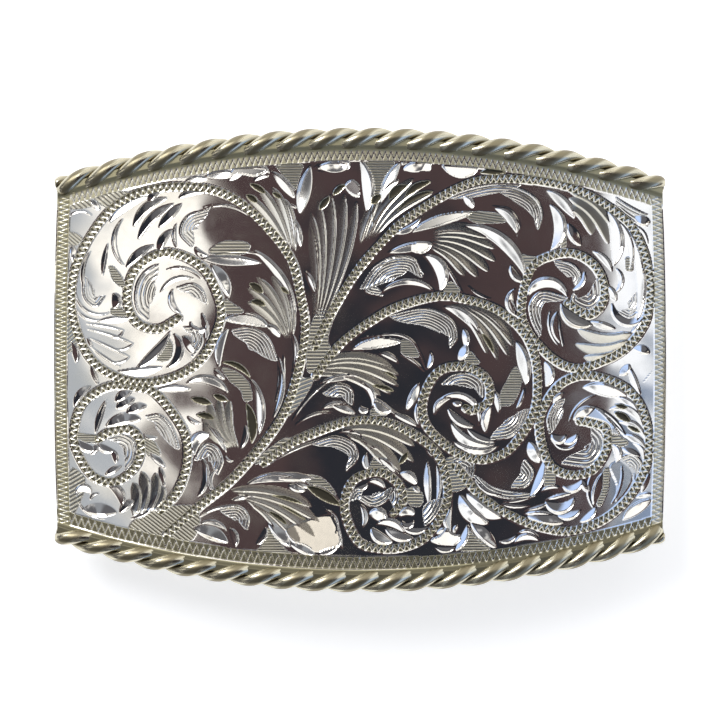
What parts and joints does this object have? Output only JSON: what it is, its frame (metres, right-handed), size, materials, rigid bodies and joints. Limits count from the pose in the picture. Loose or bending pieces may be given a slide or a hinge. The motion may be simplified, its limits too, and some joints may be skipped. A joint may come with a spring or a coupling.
{
  "type": "belt buckle",
  "caption": "Bowed metal belt buckle plate with an engraved scroll face, twisted wire along its long edges, and a belt loop and hook on its back.",
  "frame": {"origin": "on the resting surface, under the middle of the plate, with the buckle lying face up", "axes": "+X along the belt, to the right seen from the front, +Y up the buckle, +Z out of the face"},
  "size_m": [0.083, 0.0626, 0.014],
  "materials": {
    "engraved_silver": "bright-cut engraved silver, grey-green in the cuts",
    "wire_edge": "polished nickel silver, yellowed, dark between the strands",
    "plain_nickel_silver": "plain nickel silver, softly brushed"
  },
  "bodies": {
    "root": {"plate": "engraved_silver", "belt_loop": "plain_nickel_silver", "hook": "plain_nickel_silver"}
  },
  "joints": []
}
